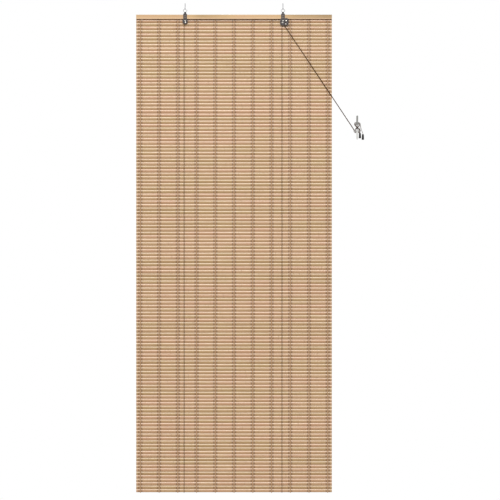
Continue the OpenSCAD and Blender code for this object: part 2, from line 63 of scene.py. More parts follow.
RAIL_LOW, RAIL_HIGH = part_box("head_rail")
MAT_LOW, MAT_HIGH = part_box("bamboo_slats")
RAIL_MID_Y = (RAIL_LOW.y + RAIL_HIGH.y) / 2
MAT_MID_Y = (MAT_LOW.y + MAT_HIGH.y) / 2
RAIL_LAP = 0.1 * MM
MAT_TOP = RAIL_LOW.z + RAIL_LAP
SLAT_COUNT = 136
SLAT_PITCH = (MAT_TOP - MAT_LOW.z) / SLAT_COUNT
SLAT_DEPTH = MAT_HIGH.y - MAT_LOW.y
SLAT_LENGTH = MAT_HIGH.x - MAT_LOW.x
FIRST_SLAT_Z = MAT_TOP - SLAT_PITCH / 2
WARP_NODES = [name for name in sorted(frame["nodes"]) if name.startswith("warp_") and name[5:].isdigit()]
WARP_PLACES = [sum(corner.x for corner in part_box(name)) / 2 for name in WARP_NODES]
WARP_PITCH = (WARP_PLACES[-1] - WARP_PLACES[0]) / (len(WARP_PLACES) - 1)
CORD_D = 2 * MM


# Node helpers

def put(tree, socket, value):
    """Links an output to a socket, or sets the socket to a constant."""
    if isinstance(value, bpy.types.NodeSocket):
        tree.links.new(value, socket)
    else:
        socket.default_value = value


def add(tree, kind, values=None, **settings):
    """Makes a node. values maps an input to a constant or to another node's output."""
    node = tree.nodes.new(kind)
    for key, value in settings.items():
        setattr(node, key, value)
    for key, value in (values or {}).items():
        put(tree, node.inputs[key], value)
    return node


def maths(tree, operation, first, second=0.0):
    return add(tree, "ShaderNodeMath", {0: first, 1: second}, operation=operation).outputs[0]


def vector(tree, x=0.0, y=0.0, z=0.0):
    return add(tree, "ShaderNodeCombineXYZ", {0: x, 1: y, 2: z}).outputs[0]


def split(tree, place):
    return add(tree, "ShaderNodeSeparateXYZ", {0: place}).outputs


def spread(tree, value, low, high, to_low, to_high):
    values = {0: value, 1: low, 2: high, 3: to_low, 4: to_high}
    return add(tree, "ShaderNodeMapRange", values).outputs[0]


def stretched(tree, place, scale):
    """Coordinates stretched by a factor along each axis."""
    return add(tree, "ShaderNodeVectorMath", {0: place, 1: scale}, operation="MULTIPLY").outputs[0]


def noise(tree, place, scale, detail=2.0, roughness=0.5):
    values = {"Vector": place, "Scale": scale, "Detail": detail, "Roughness": roughness}
    return add(tree, "ShaderNodeTexNoise", values).outputs["Fac"]


def grain(tree, place, scale, detail=2.0, roughness=0.5):
    """Noise with its own scale along each axis."""
    return noise(tree, stretched(tree, place, scale), 1.0, detail, roughness)


def slow_noise(tree, place, scale, choice):
    """Slow noise with its own scale along each axis. Each choice gives another pattern."""
    values = {"Vector": stretched(tree, place, scale), "W": choice, "Scale": 1.0, "Detail": 1.0}
    return add(tree, "ShaderNodeTexNoise", values, noise_dimensions="4D").outputs["Fac"]


# Shader helpers

def rgb(red, green, blue):
    """A colour written as it looks on a screen, from 0 to 255, in the linear values that shaders take."""
    def linear(level):
        level /= 255
        return level / 12.92 if level <= 0.04045 else ((level + 0.055) / 1.055) ** 2.4
    return linear(red), linear(green), linear(blue), 1.0


def ramp(tree, factor, stops):
    node = add(tree, "ShaderNodeValToRGB", {"Fac": factor})
    band = node.color_ramp
    while len(band.elements) < len(stops):
        band.elements.new(0.5)
    for element, (place, colour) in zip(band.elements, stops):
        element.position = place
        element.color = colour
    return node.outputs["Color"]


def mix_colour(tree, factor, first, second):
    return add(tree, "ShaderNodeMix", {0: factor, 6: first, 7: second}, data_type="RGBA").outputs[2]


def bump(tree, height, strength, distance):
    values = {"Height": height, "Strength": strength, "Distance": distance}
    return add(tree, "ShaderNodeBump", values).outputs["Normal"]


def attribute(tree, name):
    return add(tree, "ShaderNodeAttribute", attribute_name=name).outputs["Fac"]


def new_material(name):
    """An empty material: its tree, its shader and its Object coordinates."""
    material = bpy.data.materials.new(name)
    material.use_nodes = True
    tree = material.node_tree
    tree.nodes.clear()
    shader = add(tree, "ShaderNodeBsdfPrincipled")
    add(tree, "ShaderNodeOutputMaterial", {"Surface": shader.outputs[0]})
    place = add(tree, "ShaderNodeTexCoord").outputs["Object"]
    return material, tree, shader, place


def feed(tree, shader, **sockets):
    """Sets or links the shader's sockets. Underscores stand for spaces."""
    for key, value in sockets.items():
        put(tree, shader.inputs[key.replace("_", " ")], value)


# Bamboo

# Distances from a warp's middle at which the painted shade beside it starts, is full, fades and ends
SHADE_START, SHADE_FULL = 2.5 * MM, 5.5 * MM
SHADE_FADE, SHADE_END = 8.0 * MM, 11.0 * MM
BACK_SKIN = 0.1 * MM
GRAIN_SHIFT = 40.0


def shade_beside_warp(tree, place):
    """One beside each warp on the mat's front, where painted shade darkens the slats next to the twine, and
    zero elsewhere.
    """
    part = split(tree, place)
    count = maths(tree, "DIVIDE", maths(tree, "SUBTRACT", part[0], WARP_PLACES[0]), WARP_PITCH)
    away = maths(tree, "ABSOLUTE", maths(tree, "SUBTRACT", count, maths(tree, "ROUND", count)))
    away = maths(tree, "MULTIPLY", away, WARP_PITCH)
    beside = maths(tree, "MULTIPLY", spread(tree, away, SHADE_START, SHADE_FULL, 0.0, 1.0),
                   spread(tree, away, SHADE_FADE, SHADE_END, 1.0, 0.0))
    return maths(tree, "MULTIPLY", beside, maths(tree, "LESS_THAN", part[1], MAT_HIGH.y - BACK_SKIN))


def bamboo_skin():
    """Split bamboo: each slat's own tint drifts along its length, under fine fibres and a soft sheen."""
    material, tree, shader, place = new_material("bamboo_skin")
    slat = attribute(tree, "slat_tint")
    across = attribute(tree, "slat_across")
    knuckle = attribute(tree, "knuckle")
    shifted = vector(tree, maths(tree, "MULTIPLY", slat, GRAIN_SHIFT))
    along = add(tree, "ShaderNodeVectorMath", {0: place, 1: shifted}).outputs[0]
    drift = grain(tree, along, (4.0, 0.0, 0.0))
    tint = maths(tree, "ADD", slat, spread(tree, drift, 0.3, 0.7, -0.35, 0.35))
    colour = ramp(tree, tint, [
        (0.0, rgb(163, 130, 86)), (0.22, rgb(167, 138, 91)), (0.42, rgb(173, 140, 99)),
        (0.6, rgb(176, 140, 103)), (0.78, rgb(178, 136, 103)), (1.0, rgb(182, 148, 110))])
    fibre = grain(tree, along, (9.0, 300.0, 700.0), 4.0, 0.6)
    colour = mix_colour(tree, spread(tree, fibre, 0.35, 0.7, 0.0, 0.5), colour, rgb(146, 114, 79))
    streak = grain(tree, along, (2.5, 900.0, 1500.0), 2.0, 0.6)
    colour = mix_colour(tree, spread(tree, streak, 0.5, 0.75, 0.0, 0.4), colour, rgb(204, 177, 142))
    colour = mix_colour(tree, maths(tree, "MULTIPLY", knuckle, 0.6), colour, rgb(124, 92, 58))
    # Painted shade beside each warp, strongest on the slats' lower halves
    painted_shade = maths(tree, "MULTIPLY", shade_beside_warp(tree, place), spread(tree, across, 0.0, 0.6, 1.0, 0.3))
    colour = mix_colour(tree, maths(tree, "MULTIPLY", painted_shade, 0.85), colour, rgb(116, 80, 44))
    # Darker towards each slat's long edges
    edge = spread(tree, maths(tree, "ABSOLUTE", across), 0.86, 1.0, 0.0, 0.5)
    colour = mix_colour(tree, edge, colour, rgb(128, 92, 54))
    feed(tree, shader, Base_Color=colour, Roughness=spread(tree, fibre, 0.3, 0.7, 0.34, 0.46),
         Coat_Weight=1.0, Coat_Roughness=0.3, Specular_IOR_Level=0.5,
         Normal=bump(tree, fibre, 0.1, 0.1 * MM))
    return material


# Pine batten

PINE_SEED = 3.1
DARK_END_X = 0.2
# Growth rings for each metre of depth and of height, and how many the grain bends them by
RINGS_DEEP, RINGS_HIGH, RINGS_BENT = 150.0, 330.0, 9.0
PALE_EDGE, PALE_FADE = 3.5 * MM, 6.0 * MM


def pine():
    """Planed softwood: tone drifts from pinkish to olive, with long grain lines and a pale lower edge."""
    material, tree, shader, place = new_material("pine")
    part = split(tree, place)
    drift = slow_noise(tree, place, (4.0, 0.0, 0.0), PINE_SEED)
    lean = spread(tree, part[0], DARK_END_X, RAIL_HIGH.x, 0.0, 0.65)
    colour = ramp(tree, maths(tree, "ADD", spread(tree, drift, 0.3, 0.7, 0.0, 0.8), lean), [
        (0.2, rgb(197, 164, 134)), (0.5, rgb(191, 164, 123)), (0.95, rgb(137, 117, 84))])
    bands = grain(tree, place, (1.4, 90.0, 160.0), 3.0, 0.55)
    colour = mix_colour(tree, spread(tree, bands, 0.55, 0.75, 0.0, 0.4), colour, rgb(186, 142, 94))
    colour = mix_colour(tree, spread(tree, bands, 0.45, 0.3, 0.0, 0.4), colour, rgb(236, 206, 166))
    wander = grain(tree, place, (3.0, 30.0, 30.0))
    depth = maths(tree, "ADD", maths(tree, "MULTIPLY", part[1], RINGS_DEEP),
                  maths(tree, "MULTIPLY", part[2], RINGS_HIGH))
    depth = maths(tree, "ADD", depth, maths(tree, "MULTIPLY", wander, RINGS_BENT))
    ring = maths(tree, "SINE", maths(tree, "MULTIPLY", depth, TURN))
    colour = mix_colour(tree, spread(tree, ring, 0.4, 1.0, 0.0, 0.5), colour, rgb(182, 134, 84))
    above = maths(tree, "SUBTRACT", part[2], RAIL_LOW.z)
    pale = spread(tree, above, PALE_EDGE, PALE_FADE, 0.6, 0.0)
    colour = mix_colour(tree, pale, colour, rgb(236, 208, 174))
    fibre = grain(tree, place, (20.0, 900.0, 900.0), 3.0, 0.6)
    colour = mix_colour(tree, spread(tree, fibre, 0.45, 0.8, 0.0, 0.3), colour, rgb(176, 134, 88))
    feed(tree, shader, Base_Color=colour, Roughness=spread(tree, fibre, 0.3, 0.7, 0.5, 0.65),
         Normal=bump(tree, fibre, 0.3, 0.15 * MM))
    return material


# Twine and cord

YARN_PLIES = 3.0
YARN_LAY = 3.5 * MM
BRAID_STRANDS = 4.0
BRAID_LAY = 3 * MM


def twisted_yarn():
    """Twisted yarn: slanting plies along the UV map with painted shade in their grooves, uneven dye and a
    soft fuzz.
    """
    material, tree, shader, place = new_material("warp_twine")
    light = rgb(186, 151, 115)
    dark = rgb(132, 101, 69)
    part = split(tree, add(tree, "ShaderNodeUVMap").outputs[0])
    ply = maths(tree, "ADD", maths(tree, "MULTIPLY", part[0], YARN_PLIES),
                maths(tree, "MULTIPLY", part[1], 1 / YARN_LAY))
    ridge = maths(tree, "SINE", maths(tree, "MULTIPLY", ply, TURN))
    height = spread(tree, ridge, -1.0, 1.0, 0.0, 1.0)
    fuzz = noise(tree, place, 1800.0, 3.0, 0.7)
    # Painted shade: the yarn darkens in the grooves between the plies
    colour = mix_colour(tree, spread(tree, height, 0.0, 0.6, 0.6, 0.0), light, dark)
    colour = mix_colour(tree, spread(tree, fuzz, 0.4, 0.8, 0.0, 0.35), colour, dark)
    feed(tree, shader, Base_Color=colour, Roughness=0.9, Sheen_Weight=0.25, Sheen_Roughness=0.5,
         Normal=bump(tree, maths(tree, "ADD", height, fuzz), 0.6, 0.3 * MM))
    return material


def braided_cord():
    """Braided cord: two sets of slanting strands that cross along the UV map, with painted shade where they
    dip.
    """
    material, tree, shader, place = new_material("braided_cord")
    part = split(tree, add(tree, "ShaderNodeUVMap").outputs[0])
    around = maths(tree, "MULTIPLY", part[0], BRAID_STRANDS)
    down = maths(tree, "MULTIPLY", part[1], 1 / BRAID_LAY)
    waves = []
    for operation in ("ADD", "SUBTRACT"):
        slant = maths(tree, "MULTIPLY", maths(tree, operation, around, down), TURN)
        waves.append(maths(tree, "SINE", slant))
    strand = maths(tree, "MULTIPLY", waves[0], waves[1])
    height = spread(tree, strand, -1.0, 1.0, 0.0, 1.0)
    wear = noise(tree, place, 60.0, 3.0)
    # Painted shade: the strands darken towards the dips between them
    colour = ramp(tree, height, [(0.2, rgb(38, 23, 11)), (0.8, rgb(80, 52, 25))])
    colour = mix_colour(tree, spread(tree, wear, 0.4, 0.7, 0.0, 0.35), colour, rgb(92, 64, 34))
    feed(tree, shader, Base_Color=colour, Roughness=0.9, Specular_IOR_Level=0.05,
         Normal=bump(tree, height, 0.7, 0.3 * MM))
    return material


# Metal and plastic

def plated_steel(name, colour, rough_low, rough_high):
    """Bright plated steel with fine rolling marks and slightly uneven gloss."""
    material, tree, shader, place = new_material(name)
    cloud = noise(tree, place, 220.0, 3.0)
    marks = grain(tree, place, (3000.0, 3000.0, 300.0))
    tone = mix_colour(tree, spread(tree, cloud, 0.35, 0.7, 0.0, 0.15), colour, rgb(120, 120, 122))
    feed(tree, shader, Base_Color=tone, Metallic=1.0,
         Roughness=spread(tree, cloud, 0.3, 0.7, rough_low, rough_high),
         Normal=bump(tree, marks, 0.12, 0.1 * MM))
    return material


def blackened_steel():
    """Stamped sheet with a blackened finish that is rubbed bright in places."""
    material, tree, shader, place = new_material("blackened_steel")
    cloud = noise(tree, place, 140.0, 4.0, 0.6)
    rub = noise(tree, place, 420.0, 3.0, 0.6)
    colour = ramp(tree, cloud, [(0.3, rgb(42, 35, 34)), (0.7, rgb(68, 66, 70))])
    colour = mix_colour(tree, spread(tree, rub, 0.55, 0.75, 0.0, 0.4), colour, rgb(108, 104, 104))
    feed(tree, shader, Base_Color=colour, Metallic=0.6,
         Roughness=spread(tree, cloud, 0.3, 0.7, 0.34, 0.52), Normal=bump(tree, rub, 0.1, 0.1 * MM))
    return material


def black_enamel():
    """Black enamel with slightly uneven gloss."""
    material, tree, shader, place = new_material("black_enamel")
    cloud = noise(tree, place, 300.0, 3.0)
    colour = ramp(tree, cloud, [(0.3, rgb(14, 13, 16)), (0.7, rgb(27, 25, 28))])
    feed(tree, shader, Base_Color=colour, Specular_IOR_Level=0.25,
         Roughness=spread(tree, cloud, 0.3, 0.7, 0.35, 0.5))
    return material


def moulded_nylon():
    """Dark nylon with a fine moulded grit."""
    material, tree, shader, place = new_material("moulded_nylon")
    grit = noise(tree, place, 900.0, 3.0)
    colour = ramp(tree, grit, [(0.3, rgb(30, 30, 30)), (0.7, rgb(48, 47, 46))])
    feed(tree, shader, Base_Color=colour, Roughness=0.55, Normal=bump(tree, grit, 0.1, 0.1 * MM))
    return material


def tassel_plastic():
    """Black moulded plastic with a faint turning mark and dusty gloss."""
    material, tree, shader, place = new_material("tassel_plastic")
    dust = noise(tree, place, 350.0, 4.0, 0.6)
    rings = grain(tree, place, (0.0, 0.0, 1500.0))
    colour = ramp(tree, dust, [(0.35, rgb(15, 15, 15)), (0.8, rgb(34, 33, 32))])
    feed(tree, shader, Base_Color=colour, Roughness=spread(tree, dust, 0.3, 0.7, 0.3, 0.42),
         Specular_IOR_Level=0.35, Normal=bump(tree, rings, 0.1, 0.1 * MM))
    return material


# Finishes, and the CAD nodes that wear them

BAMBOO = bamboo_skin()
PINE = pine()
TWINE = twisted_yarn()
CORD = braided_cord()
STEEL = plated_steel("zinc_plate", rgb(150, 152, 156), 0.28, 0.42)
CLEAT_STEEL = plated_steel("cleat_plate", rgb(164, 166, 166), 0.55, 0.6)
RIVET = plated_steel("rivet_plate", rgb(224, 222, 214), 0.18, 0.3)
SCREW = plated_steel("screw_plate", rgb(132, 122, 114), 0.3, 0.42)
DARK_STEEL = blackened_steel()
ENAMEL = black_enamel()
NYLON = moulded_nylon()
TASSEL = tassel_plastic()

CAD_FINISH = {
    PINE: ["head_rail"],
    STEEL: ["warp_staples", "cord_staples", "left_ceiling_hook", "right_ceiling_hook",
            "left_ring", "right_ring", "cleat_screws"],
    CLEAT_STEEL: ["cord_cleat"],
    ENAMEL: ["left_swivel", "right_swivel"],
    DARK_STEEL: ["left_bracket", "right_bracket", "left_back_cheek", "right_back_cheek", "guide_pin"],
    RIVET: ["left_axle", "right_axle", "left_spacer", "right_spacer", "right_upper_spacer", "lock_roller"],
    SCREW: ["left_rail_screws", "right_rail_screws"],
    NYLON: ["left_sheave", "right_front_sheave", "right_rear_sheave"],
    TASSEL: ["left_tassel", "right_tassel"],
}
for finish, names in CAD_FINISH.items():
    for name in names:
        mesh = frame["nodes"][name].data
        mesh.materials.clear()
        mesh.materials.append(finish)

# Mesh helpers

CREASE = math.radians(40)


def link(name, data):
    piece = bpy.data.objects.new(name, data)
    scene.collection.objects.link(piece)
    return piece


def seat(piece, slot, *nodes):
    """Rides a piece on the blind and hides the CAD nodes that it stands for. Its slot is not used."""
    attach(piece, BODY)
    if nodes:
        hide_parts(*nodes)


def from_bmesh(name, shape, material=None):
    """A mesh with outward faces, smooth but for its sharp edges."""
    bmesh.ops.recalc_face_normals(shape, faces=shape.faces)
    for face in shape.faces:
        face.smooth = True
    for edge in shape.edges:
        edge.smooth = len(edge.link_faces) == 2 and edge.calc_face_angle() < CREASE
    mesh = bpy.data.meshes.new(name)
    shape.to_mesh(mesh)
    shape.free()
    if material:
        mesh.materials.append(material)
    return mesh


def skin(shape, rings):
    """Faces between rings of vertices, with a cap on each end."""
    count = len(rings[0])
    for here, there in zip(rings, rings[1:]):
        for k in range(count):
            n = (k + 1) % count
            shape.faces.new((here[k], here[n], there[n], there[k]))
    shape.faces.new(rings[0])
    shape.faces.new(rings[-1])


def sweep(shape, points, radius, sides, uv_layer):
    """Adds a closed round tube along points, with UV across and along it."""
    points = [Vector(point) for point in points]
    last = len(points) - 1
    side = None
    rings = []
    lengths = [0.0]
    for here, there in zip(points, points[1:]):
        lengths.append(lengths[-1] + (there - here).length)
    for i, point in enumerate(points):
        ahead = (points[min(i + 1, last)] - points[max(i - 1, 0)]).normalized()
        if side is None:
            side = ahead.orthogonal().normalized()
        side = (side - ahead * side.dot(ahead)).normalized()
        up = ahead.cross(side)
        ring = []
        for k in range(sides):
            angle = TURN * k / sides
            outwards = side * math.cos(angle) + up * math.sin(angle)
            ring.append(shape.verts.new(point + radius * outwards))
        rings.append(ring)
    for i in range(last):
        for k in range(sides):
            n = (k + 1) % sides
            face = shape.faces.new((rings[i][k], rings[i][n], rings[i + 1][n], rings[i + 1][k]))
            corners = ((k, i), (k + 1, i), (k + 1, i + 1), (k, i + 1))
            for loop, (u, v) in zip(face.loops, corners):
                loop[uv_layer].uv = (u / sides, lengths[v])
    shape.faces.new(list(reversed(rings[0])))
    shape.faces.new(rings[-1])


# Geometry Nodes helpers

def new_tree(name, inputs):
    """A tree with a Geometry input, the named inputs (label, socket kind, value) and a Geometry output."""
    tree = bpy.data.node_groups.new(name, "GeometryNodeTree")
    tree.interface.new_socket("Geometry", in_out="INPUT", socket_type="NodeSocketGeometry")
    for label, kind, value in inputs:
        socket = tree.interface.new_socket(label, in_out="INPUT", socket_type="NodeSocket" + kind)
        if value is not None:
            socket.default_value = value
    tree.interface.new_socket("Geometry", in_out="OUTPUT", socket_type="NodeSocketGeometry")
    return tree, tree.nodes.new("NodeGroupInput").outputs


def realized(tree, geometry):
    return add(tree, "GeometryNodeRealizeInstances", {0: geometry}).outputs[0]


def joined(tree, *geometries):
    node = add(tree, "GeometryNodeJoinGeometry")
    for geometry in geometries:
        tree.links.new(geometry, node.inputs[0])
    return realized(tree, node.outputs[0])


def shape_of(tree, piece):
    return add(tree, "GeometryNodeObjectInfo", {"Object": piece}).outputs["Geometry"]


def random_value(tree, low, high, seed, **chosen_by):
    return add(tree, "FunctionNodeRandomValue", {2: low, 3: high, "Seed": seed, **chosen_by}).outputs[1]


def sway(tree, scale, choice, reach):
    """A slow shift to both sides, by at most half of reach."""
    place = add(tree, "GeometryNodeInputPosition").outputs[0]
    wave = slow_noise(tree, place, scale, choice)
    return maths(tree, "MULTIPLY", maths(tree, "SUBTRACT", wave, 0.5), reach)


def shifted_by(tree, geometry, offset):
    return add(tree, "GeometryNodeSetPosition", {"Geometry": geometry, "Offset": offset}).outputs[0]


def close_tree(tree, geometry, material):
    """Ends a tree in Realize Instances and Set Material."""
    values = {"Geometry": realized(tree, geometry), "Material": material}
    done = add(tree, "GeometryNodeSetMaterial", values).outputs[0]
    tree.links.new(done, tree.nodes.new("NodeGroupOutput").inputs[0])


def grown(piece, tree, values):
    """Runs a tree on a piece with its inputs set, and leaves the result as the piece's plain mesh."""
    modifier = piece.modifiers.new(tree.name, "NODES")
    modifier.node_group = tree
    for item in tree.interface.items_tree:
        if item.in_out == "INPUT" and item.name in values:
            modifier[item.identifier] = values[item.name]
    evaluated = piece.evaluated_get(bpy.context.evaluated_depsgraph_get())
    mesh = bpy.data.meshes.new_from_object(evaluated)
    piece.modifiers.remove(modifier)
    old, piece.data = piece.data, mesh
    mesh.name = piece.name
    bpy.data.meshes.remove(old)
    return piece


# Slat mat

CROWN_R = 12 * MM
CROWN_STEPS = 8
CROWN_TRIM = 0.12
FLAT_SHARE = 0.45
SLAT_SPANS = 4
SLAT_LAP = 0.05 * MM
SLAT_HALF = SLAT_PITCH / 2 + SLAT_LAP
SLAT_TILT = 0.014
SLAT_BEND = 0.1 * MM
BEND_SCALE = 5.0
BEND_CHOICE = 90.0
SLAT_SEED = 3
KNUCKLES = 3
KNUCKLE_STEPS = 6
KNUCKLE_REACH = 0.97
# Across a knuckle: place in mm, rise in mm and darkness
KNUCKLE_FORM = ((-2.2, -0.1, 0.0), (-0.8, 0.22, 0.3), (0.0, 0.08, 1.0), (0.7, 0.26, 0.4), (2.0, -0.1, 0.0))


def crown_y(height):
    """Depth of the crown, from the mat's middle, at a height on the slat. Its lower half is flatter."""
    drop = CROWN_R - math.sqrt(CROWN_R ** 2 - height ** 2)
    return MAT_LOW.y + (drop if height > 0 else drop * FLAT_SHARE) - MAT_MID_Y


def slat_mesh():
    """One slat around its middle: a rounded front, thin long edges and a flat back."""
    shape = bmesh.new()
    across = shape.verts.layers.float.new("slat_across")
    shares = [CROWN_TRIM + (1 - 2 * CROWN_TRIM) * k / CROWN_STEPS for k in range(CROWN_STEPS + 1)]
    widest = math.cos(math.pi * CROWN_TRIM)
    heights = [SLAT_HALF * math.cos(math.pi * share) / widest for share in shares]
    back = MAT_HIGH.y - MAT_MID_Y
    outline = [(crown_y(height), height) for height in heights] + [(back, -SLAT_HALF), (back, SLAT_HALF)]
    rings = []
    for i in range(SLAT_SPANS + 1):
        x = MAT_LOW.x + SLAT_LENGTH * i / SLAT_SPANS
        ring = []
        for y, height in outline:
            vert = shape.verts.new((x, y, height))
            vert[across] = height / SLAT_HALF
            ring.append(vert)
        rings.append(ring)
    skin(shape, rings)
    return from_bmesh("slat", shape)


def knuckle_mesh():
    """One low ridge over a slat's crown, as where a bamboo stem has a joint."""
    shape = bmesh.new()
    mark = shape.verts.layers.float.new("knuckle")
    across = shape.verts.layers.float.new("slat_across")
    rows = []
    for k in range(KNUCKLE_STEPS + 1):
        height = KNUCKLE_REACH * SLAT_HALF * (1 - 2 * k / KNUCKLE_STEPS)
        row = []
        for sideways, rise, dark in KNUCKLE_FORM:
            vert = shape.verts.new((sideways * MM, crown_y(height) - rise * MM, height))
            vert[mark] = dark
            vert[across] = height / SLAT_HALF
            row.append(vert)
        rows.append(row)
    skin(shape, rows)
    return from_bmesh("knuckle", shape)


def hung_rows(tree, given, count, row, sideways):
    """Points down the mat: row gives each point's slat, sideways its place along the slat."""
    line = add(tree, "GeometryNodeMeshLine", {"Count": count}).outputs[0]
    down = maths(tree, "MULTIPLY", row, given["Slat Pitch"])
    place = vector(tree, sideways, 0.0, maths(tree, "SUBTRACT", given["First Height"], down))
    return add(tree, "GeometryNodeSetPosition", {"Geometry": line, "Position": place}).outputs[0]


def on_slats(tree, given, points, shape, row):
    """Copies of a shape, each with its slat's lean and tint."""
    lowest = maths(tree, "MULTIPLY", given["Tilt"], -1.0)
    lean = random_value(tree, lowest, given["Tilt"], given["Seed"], ID=row)
    rotation = add(tree, "FunctionNodeEulerToRotation", {0: vector(tree, lean)}).outputs[0]
    copies = add(tree, "GeometryNodeInstanceOnPoints", {
        "Points": points, "Instance": shape, "Rotation": rotation}).outputs[0]
    tint = random_value(tree, 0.0, 1.0, maths(tree, "ADD", given["Seed"], 1.0), ID=row)
    return add(tree, "GeometryNodeStoreNamedAttribute", {
        "Geometry": copies, "Name": "slat_tint", "Value": tint}, domain="INSTANCE").outputs[0]


def slat_tree():
    """Hangs copies of one slat at an even pitch, each with a lean, a tint, a faint bend and knuckles."""
    tree, given = new_tree("slat_mat", [
        ("Slat Count", "Int", SLAT_COUNT), ("Slat Pitch", "Float", SLAT_PITCH),
        ("First Height", "Float", FIRST_SLAT_Z), ("Slat Length", "Float", SLAT_LENGTH),
        ("Knuckle", "Object", None), ("Knuckles", "Int", KNUCKLES), ("Tilt", "Float", SLAT_TILT),
        ("Bend", "Float", SLAT_BEND), ("Seed", "Int", SLAT_SEED), ("Finish", "Material", None)])
    index = add(tree, "GeometryNodeInputIndex").outputs[0]
    points = hung_rows(tree, given, given["Slat Count"], index, 0.0)
    slats = on_slats(tree, given, points, given["Geometry"], index)

    row = maths(tree, "FLOOR", maths(tree, "DIVIDE", index, given["Knuckles"]))
    nth = maths(tree, "MODULO", index, given["Knuckles"])
    chance = random_value(tree, 0.1, 0.9, maths(tree, "ADD", given["Seed"], 2.0))
    share = maths(tree, "DIVIDE", maths(tree, "ADD", nth, chance), given["Knuckles"])
    sideways = maths(tree, "MULTIPLY", maths(tree, "SUBTRACT", share, 0.5), given["Slat Length"])
    total = maths(tree, "MULTIPLY", given["Slat Count"], given["Knuckles"])
    points = hung_rows(tree, given, total, row, sideways)
    ridges = on_slats(tree, given, points, shape_of(tree, given["Knuckle"]), row)

    own = add(tree, "GeometryNodeInputNamedAttribute", {"Name": "slat_tint"}).outputs[0]
    choice = maths(tree, "MULTIPLY", own, BEND_CHOICE)
    lift = sway(tree, (BEND_SCALE, 0.0, 0.0), choice, given["Bend"])
    bent = shifted_by(tree, joined(tree, slats, ridges), vector(tree, z=lift))
    close_tree(tree, bent, given["Finish"])
    return tree


def slat_mat():
    knuckle = link("knuckle", knuckle_mesh())
    mat = grown(link("slat_mat", slat_mesh()), slat_tree(), {"Knuckle": knuckle, "Finish": BAMBOO})
    bpy.data.objects.remove(knuckle)
    for vert in mat.data.vertices:
        vert.co.y += MAT_MID_Y
    seat(mat, "bamboo", "bamboo_slats")


slat_mat()

# Warp twine

YARN_R = 1.25 * MM
YARN_SIDES = 5
YARN_SWING = 1.3 * MM
YARN_DIP = 0.7 * MM
YARN_PRESS = 0.75
YARN_OVER = 0.9
YARN_WANDER = 1.6 * MM
WANDER_SCALE = 40.0
WANDER_CHOICE = 70.0
YARN_BACK = MAT_HIGH.y + 0.8 * YARN_R
STITCH_STEPS = 5
BACK_STEPS = (0, 0.33, 0.67, 1)
TAIL_R = 0.8 * YARN_R
TAIL_PINCH = 4 * MM
# Half the space between a tail's two plies, in mm, from the mat up to the staple
TAIL_APART = (0.4, 1.1, 0.9, 1.3)


def stitch_mesh():
    """One stitch around a slat's middle: two plies that cross over the crown and one behind the slat."""
    shape = bmesh.new()
    uv_layer = shape.loops.layers.uv.new("UVMap")
    half = SLAT_PITCH / 2
    for swing, lift in ((1, YARN_OVER), (-1, 0.0)):
        points = []
        for i in range(STITCH_STEPS + 1):
            t = i / STITCH_STEPS
            bulge = math.sin(math.pi * t)
            surface = MAT_LOW.y + YARN_DIP * (1 - bulge)
            out = YARN_R * (YARN_PRESS + lift * bulge)
            aside = swing * YARN_SWING * math.cos(math.pi * t)
            points.append((aside, surface - out, half * (1 - 2 * t)))
        sweep(shape, points, YARN_R, YARN_SIDES, uv_layer)
    behind = [(YARN_SWING / 2 * math.sin(TURN * t), YARN_BACK, half * (1 - 2 * t)) for t in BACK_STEPS]
    sweep(shape, behind, YARN_R, YARN_SIDES, uv_layer)
    return from_bmesh("stitch", shape)


def twine_ends_mesh():
    """Both ends of a warp: its tail up the batten's back to the staple, its turn round the last slat."""
    shape = bmesh.new()
    uv_layer = shape.loops.layers.uv.new("UVMap")
    front = MAT_LOW.y - YARN_PRESS * YARN_R + YARN_DIP
    under = (front + YARN_BACK) / 2
    bottom = FIRST_SLAT_Z - SLAT_PITCH * (SLAT_COUNT - 0.5)
    tail_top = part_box(WARP_NODES[0])[1].z
    tail_heights = (MAT_TOP, MAT_TOP + TAIL_PINCH, (MAT_TOP + tail_top) / 2, tail_top)
    for side in (-1, 1):
        x = side * YARN_SWING
        # Across, depth, and the drop under the mat's lower edge in mm
        turn = [(x, front, 0), (x / 2, front, 1.2), (0, under, 2), (0, YARN_BACK, 0.8), (0, YARN_BACK, 0)]
        turn = [(aside, y, bottom - drop * MM) for aside, y, drop in turn]
        sweep(shape, turn, YARN_R, YARN_SIDES, uv_layer)
        tail = [(side * apart * MM, YARN_BACK, z) for z, apart in zip(tail_heights, TAIL_APART)]
        sweep(shape, tail, TAIL_R, YARN_SIDES, uv_layer)
    return from_bmesh("twine_ends", shape)


def stitch_tree():
    """Repeats one stitch over every slat, joins the twine's ends, and lets it wander slowly sideways."""
    tree, given = new_tree("warp_stitches", [
        ("Stitch Count", "Int", SLAT_COUNT), ("Stitch Pitch", "Float", SLAT_PITCH),
        ("Place", "Float", 0.0), ("First Height", "Float", FIRST_SLAT_Z), ("Ends", "Object", None),
        ("Wander", "Float", YARN_WANDER), ("Finish", "Material", None)])
    start = vector(tree, given["Place"], 0.0, given["First Height"])
    step = vector(tree, z=maths(tree, "MULTIPLY", given["Stitch Pitch"], -1.0))
    line = add(tree, "GeometryNodeMeshLine", {
        "Count": given["Stitch Count"], "Start Location": start, "Offset": step}, mode="OFFSET").outputs[0]
    stitches = add(tree, "GeometryNodeInstanceOnPoints", {
        "Points": line, "Instance": given["Geometry"]}).outputs[0]
    ends = add(tree, "GeometryNodeTransform", {
        "Geometry": shape_of(tree, given["Ends"]), "Translation": vector(tree, given["Place"])}).outputs[0]
    choice = maths(tree, "MULTIPLY", given["Place"], WANDER_CHOICE)
    aside = sway(tree, (0.0, 0.0, WANDER_SCALE), choice, given["Wander"])
    moved = shifted_by(tree, joined(tree, stitches, ends), vector(tree, aside))
    close_tree(tree, moved, given["Finish"])
    return tree


